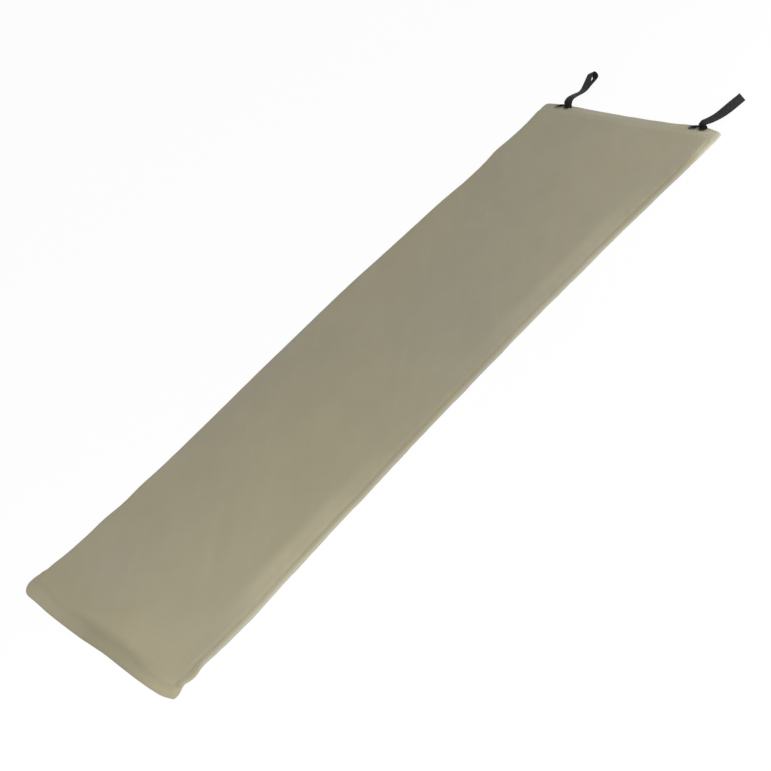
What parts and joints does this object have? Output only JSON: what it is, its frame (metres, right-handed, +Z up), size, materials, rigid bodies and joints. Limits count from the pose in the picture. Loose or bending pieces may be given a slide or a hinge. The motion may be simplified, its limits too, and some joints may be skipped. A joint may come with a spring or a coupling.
{
  "type": "sleeping mat",
  "caption": "Thin foam-filled sleeping mat lying flat, with a coated fabric cover bonded in a hem, and webbing loops through metal eyelets at one end.",
  "frame": {"origin": "middle of the mat's flat underside, on the ground", "axes": "+Z up, +Y along the mat towards the end with the webbing loops, +X across it"},
  "size_m": [0.55, 1.957, 0.026],
  "materials": {
    "top_fabric": "coated, peach-skin, olive beige",
    "underside_fabric": "coated, matt, olive beige",
    "foam": "fine closed-cell foam, cut face",
    "eyelet_metal": "blackened, satin",
    "webbing": "woven, matt black"
  },
  "bodies": {
    "mat": {"top_sheet": "top_fabric", "bottom_sheet": "underside_fabric", "foam_core": "foam", "eyelet_left_outer": "eyelet_metal", "eyelet_left_inner": "eyelet_metal", "eyelet_right_outer": "eyelet_metal", "eyelet_right_inner": "eyelet_metal", "washer_left_outer": "eyelet_metal", "washer_left_inner": "eyelet_metal", "washer_right_outer": "eyelet_metal", "washer_right_inner": "eyelet_metal", "strap_anchor_left": "webbing", "strap_anchor_right": "webbing"},
    "left_loop": {"strap_loop_left": "webbing"},
    "right_loop": {"strap_loop_right": "webbing"}
  },
  "joints": [
    {"name": "left_loop_fold", "type": "hinge", "parent": "mat", "child": "left_loop", "pos_m": [-0.20015, 0.90515, 0.01705], "axis": [1, 0, 0], "range_deg": [0, 160]},
    {"name": "right_loop_fold", "type": "hinge", "parent": "mat", "child": "right_loop", "pos_m": [0.22485, 0.90515, 0.01705], "axis": [1, 0, 0], "range_deg": [0, 160]}
  ]
}
